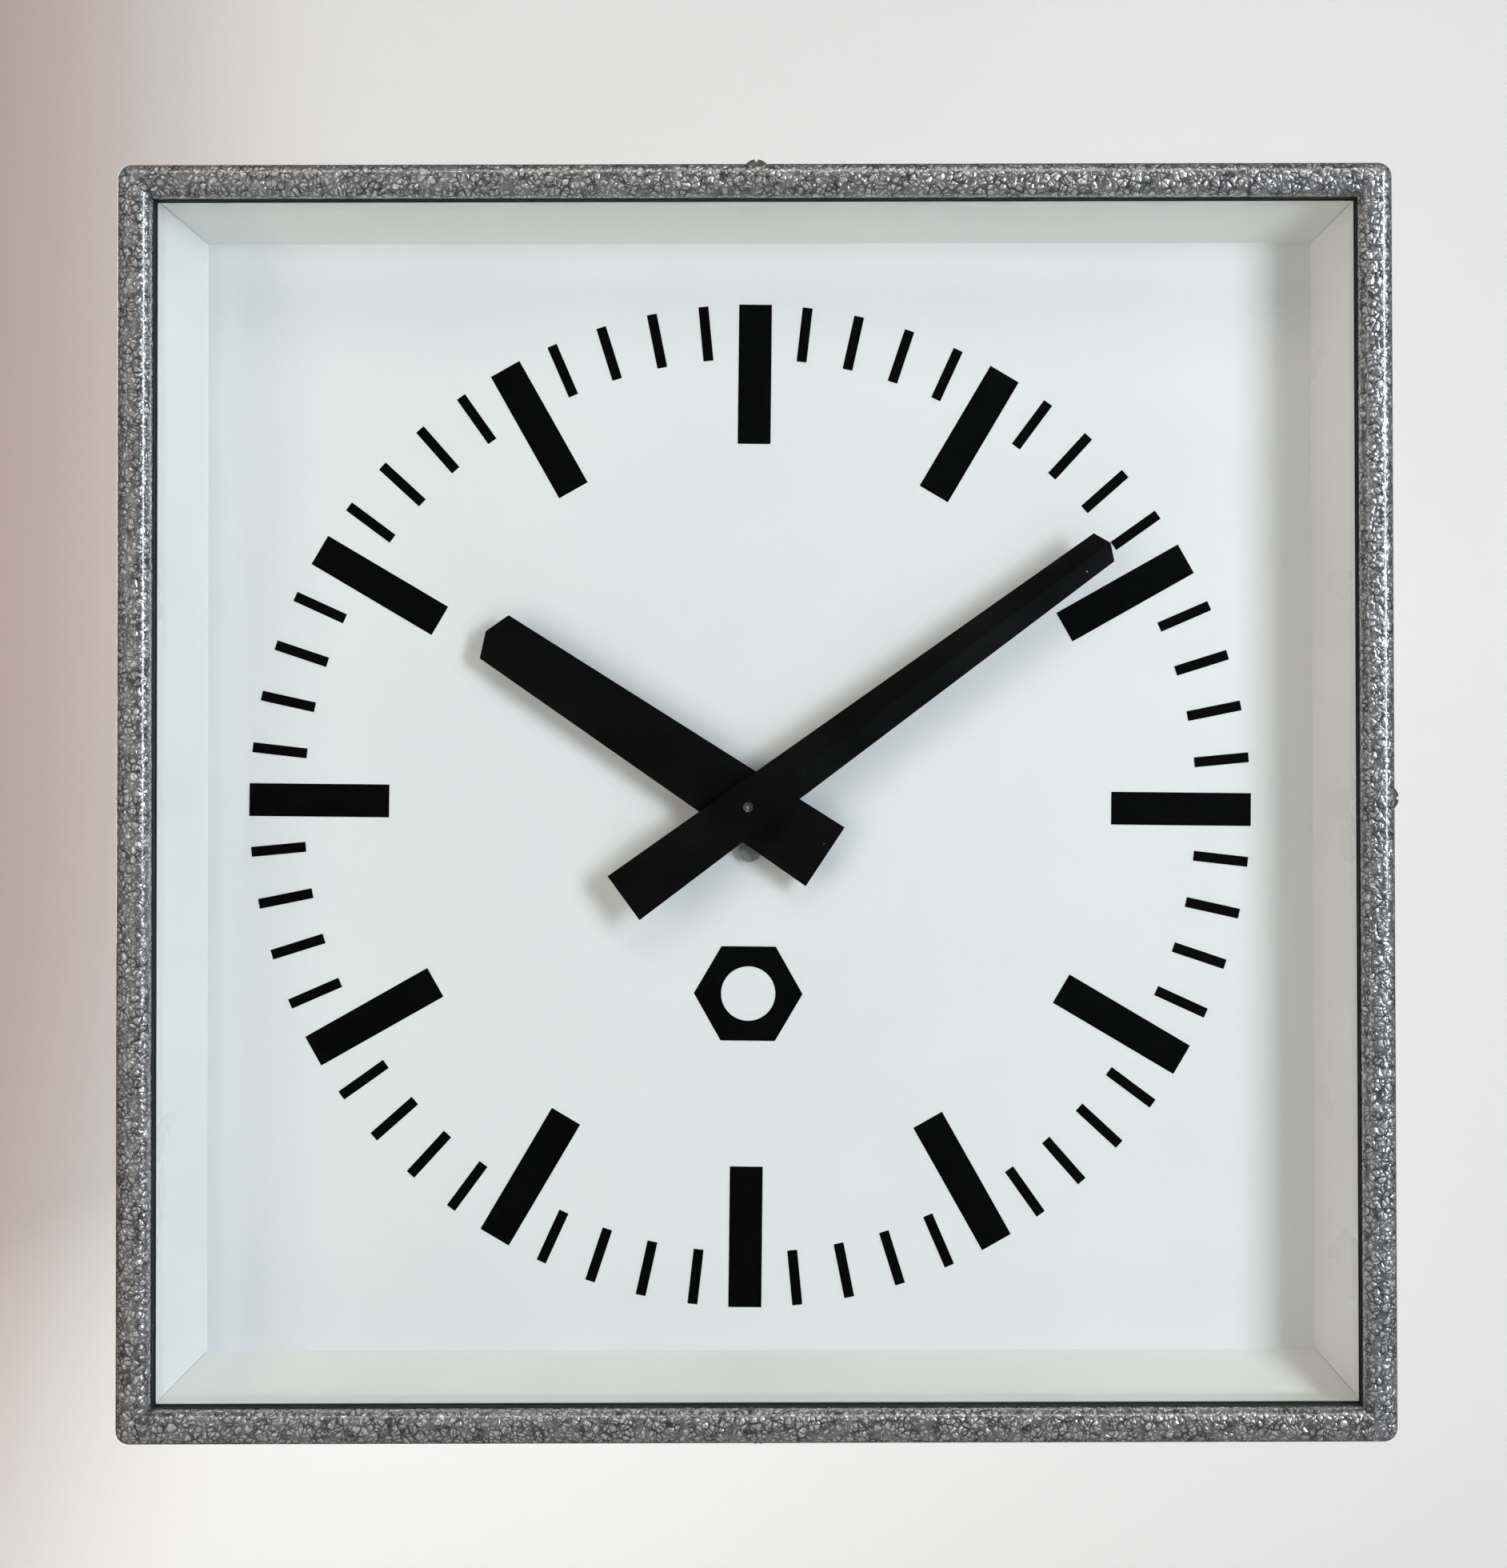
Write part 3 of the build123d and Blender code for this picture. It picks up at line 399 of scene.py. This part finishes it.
def winding_tape():
    """Varnished cotton tape over the coil, woven and amber brown."""
    tape = Finish("winding_tape", Coat_Weight=0.3, Coat_Roughness=0.3)
    warp = tape.waves(0.35 * MM, "X")
    weft = tape.waves(0.35 * MM, "Z")
    weave = tape.combine("MULTIPLY", warp, weft)
    cloud = tape.noise(5 * MM, detail=3.0)
    tone = tape.blend(weave, colour(0.14, 0.06, 0.02), colour(0.34, 0.17, 0.06))
    stain = tape.levels(cloud, 0.4, 0.8, 0.0, 0.6)
    tape.drive("Base Color", tape.blend(stain, tone, colour(0.2, 0.09, 0.03)))
    tape.drive("Roughness", tape.spread(cloud, 0.5, 0.7))
    tape.drive("Normal", tape.relief(weave, 0.06 * MM))
    return tape.material


def bakelite():
    """Dark brown moulded resin with a slow swirl."""
    resin = Finish("bakelite", Coat_Weight=0.2, Coat_Roughness=0.2)
    swirl = resin.noise(9 * MM, detail=4.0, place=resin.wobbled(12 * MM, 8 * MM))
    tone = resin.blend(swirl, colour(0.018, 0.009, 0.006), colour(0.055, 0.026, 0.016))
    resin.drive("Base Color", tone)
    resin.drive("Roughness", resin.spread(swirl, 0.3, 0.44))
    resin.drive("Normal", resin.relief(resin.noise(0.6 * MM), 0.006 * MM))
    return resin.material


def lead_sleeve():
    """Cream braided sleeve on the coil's leads."""
    sleeve = Finish("lead_sleeve", Sheen_Weight=0.3)
    strands = sleeve.waves(0.4 * MM, "DIAGONAL"), sleeve.waves(0.4 * MM, "Z")
    braid = sleeve.combine("MULTIPLY", *strands)
    tone = sleeve.blend(braid, colour(0.34, 0.30, 0.20), colour(0.60, 0.55, 0.42))
    sleeve.drive("Base Color", tone)
    sleeve.drive("Roughness", sleeve.levels(braid, 0.0, 1.0, 0.7, 0.85))
    sleeve.drive("Normal", sleeve.relief(braid, 0.05 * MM))
    return sleeve.material


def finish_cad_nodes():
    """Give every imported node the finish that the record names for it."""
    makers = {
        "hammered_paint": hammered_paint,
        "liner_enamel": liner_enamel,
        "dial_enamel": dial_enamel,
        "ink": printing_ink,
        "hand_paint": hand_paint,
        "clear_glass": clear_glass,
        "black_rubber": black_rubber,
        "zinc_steel": zinc_steel,
        "bright_steel": turned_steel,
        "sheet_steel": sheet_steel,
        "brass": brass,
        "magnet": sintered_magnet,
        "laminations": laminations,
        "bobbin_plastic": bobbin_plastic,
        "winding_tape": winding_tape,
        "bakelite": bakelite,
        "lead_sleeve": lead_sleeve,
    }
    finishes = {slot: make() for slot, make in makers.items()}
    for subpart in frame["record"]["subparts"]:
        for slot in frame["nodes"][subpart["node"]].material_slots:
            slot.material = finishes[subpart["material_slot"]]


def backdrop():
    """Pale floor that sweeps up into a wall well behind the clock, with a painted shade, warm and
    darker, on its left.
    """
    run = [(-FLOOR_SIZE, 0.0)]
    centre = BACKDROP_BEHIND - SWEEP_RADIUS
    for step in range(SWEEP_STEPS + 1):
        angle = math.radians(90.0 * step / SWEEP_STEPS)
        run.append(
            (centre + SWEEP_RADIUS * math.sin(angle), SWEEP_RADIUS * (1.0 - math.cos(angle)))
        )
    run.append((BACKDROP_BEHIND, BACKDROP_HEIGHT))
    mesh = bpy.data.meshes.new("studio_backdrop")
    half = FLOOR_SIZE / 2
    points = [(x, y, z - FLOOR_BELOW) for y, z in run for x in (-half, half)]
    faces = [(2 * i, 2 * i + 1, 2 * i + 3, 2 * i + 2) for i in range(len(run) - 1)]
    mesh.from_pydata(points, [], faces)
    mesh.shade_smooth()
    sweep = bpy.data.objects.new("studio_backdrop", mesh)
    bpy.context.collection.objects.link(sweep)
    paint = Finish("studio_backdrop", Roughness=0.9)
    place = paint.add("ShaderNodeSeparateXYZ")
    paint.feed(place.inputs[0], paint.place)
    # Painted shade: the backdrop turns warm and darker towards the left
    shade = paint.levels(place.outputs["X"], *PAINTED_SHADE_TO_PALE, 1.0, 0.0, smooth=True)
    tone = paint.blend(shade, colour(0.74, 0.745, 0.74), colour(0.46, 0.375, 0.335))
    paint.drive("Base Color", tone)
    paint.drive("Emission Color", tone)
    glow = paint.levels(
        place.outputs["Y"], GLOW_FROM, BACKDROP_BEHIND, *GLOW_STRENGTH, smooth=True
    )
    paint.drive("Emission Strength", glow)
    mesh.materials.append(paint.material)
    sweep.visible_glossy = False
    sweep.visible_transmission = False


def soft_lamp(name, azimuth, height, distance, size, strength, tint, mirrored=True):
    """A soft lamp aimed at the clock. Azimuth 0 is straight in front, 90 is on the right.

    Strength is how bright the lamp alone makes a white surface that faces it. A lamp that isn't
    mirrored doesn't show in glossy surfaces.
    """
    turn = math.radians(azimuth)
    reach = math.sqrt(distance**2 - height**2)
    place = Vector((reach * math.sin(turn), -reach * math.cos(turn), height))
    light = bpy.data.lights.new(name, "AREA")
    light.shape = "RECTANGLE"
    light.size, light.size_y = size
    light.energy = strength * (math.pi * distance) ** 2
    light.color = tint
    lamp = bpy.data.objects.new(name, light)
    lamp.location = place
    lamp.rotation_euler = (-place).to_track_quat("-Z", "Y").to_euler()
    lamp.visible_camera = False
    lamp.visible_glossy = mirrored
    lamp.visible_transmission = mirrored
    bpy.context.collection.objects.link(lamp)


def surroundings():
    """World: pale where the camera sees it, a dim light elsewhere, dimmest straight in front."""
    world = bpy.data.worlds.new("studio")
    world.use_nodes = True
    nodes, links = world.node_tree.nodes, world.node_tree.links
    seen = nodes["Background"]
    seen.inputs["Color"].default_value = grey(SEEN_WORLD)
    shed = nodes.new("ShaderNodeBackground")
    shed.inputs["Color"].default_value = colour(1.0, 0.98, 0.96)
    direction = nodes.new("ShaderNodeTexCoord")
    parts = nodes.new("ShaderNodeSeparateXYZ")
    links.new(direction.outputs["Generated"], parts.inputs[0])
    level = nodes.new("ShaderNodeMapRange")
    set_range(level, *WORLD_DIRECTIONS, *WORLD_STRENGTHS)
    links.new(parts.outputs["Y"], level.inputs["Value"])
    links.new(level.outputs["Result"], shed.inputs["Strength"])
    path = nodes.new("ShaderNodeLightPath")
    mix = nodes.new("ShaderNodeMixShader")
    links.new(path.outputs["Is Camera Ray"], mix.inputs["Fac"])
    links.new(shed.outputs[0], mix.inputs[1])
    links.new(seen.outputs[0], mix.inputs[2])
    links.new(mix.outputs[0], nodes["World Output"].inputs["Surface"])
    bpy.context.scene.world = world


def studio():
    """A cool window on the right, warm light from the left and above, and a little from below.

    The lamps stand where the glass doesn't mirror them into the photo's camera.
    """
    bpy.context.scene.view_settings.view_transform = "Standard"
    surroundings()
    soft_lamp("window", 41.0, 0.5, 3.0, (0.75, 1.6), 0.76, (0.87, 0.94, 1.0))
    soft_lamp("left_wall", -50.0, 0.1, 2.6, (0.8, 2.0), 0.30, (1.0, 0.88, 0.80), mirrored=False)
    soft_lamp("left_strip", -27.0, 0.1, 2.6, (0.2, 1.8), 0.10, (1.0, 0.95, 0.91))
    soft_lamp("ceiling", 0.0, 2.05, 2.6, (2.0, 0.8), 0.25, (1.0, 0.93, 0.86))
    soft_lamp("low_bounce", 0.0, -0.9, 1.15, (1.6, 0.4), 0.02, (0.97, 1.0, 0.97))
    soft_lamp("behind", 205.0, 0.35, 2.4, (1.4, 1.4), 0.35, (1.0, 0.99, 0.97))
    backdrop()


def photo_camera():
    """The camera stands in front, a little right of the clock's middle and above it."""
    camera = bpy.data.objects.new("camera", bpy.data.cameras.new("camera"))
    camera.data.lens = CAMERA_LENS
    camera.data.shift_x, camera.data.shift_y = CAMERA_SHIFT
    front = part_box("front_frame")[0].y
    turn = (
        Matrix.Rotation(math.radians(-CAMERA_YAW), 4, "Z")
        @ Matrix.Rotation(math.radians(90.0 + CAMERA_PITCH), 4, "X")
        @ Matrix.Rotation(math.radians(CAMERA_ROLL), 4, "Z")
    )
    place = Matrix.Translation((CAMERA_RIGHT, front - CAMERA_DISTANCE, CAMERA_UP))
    camera.matrix_world = place @ turn
    bpy.context.collection.objects.link(camera)
    bpy.context.scene.camera = camera


finish_cad_nodes()
studio()
photo_camera()
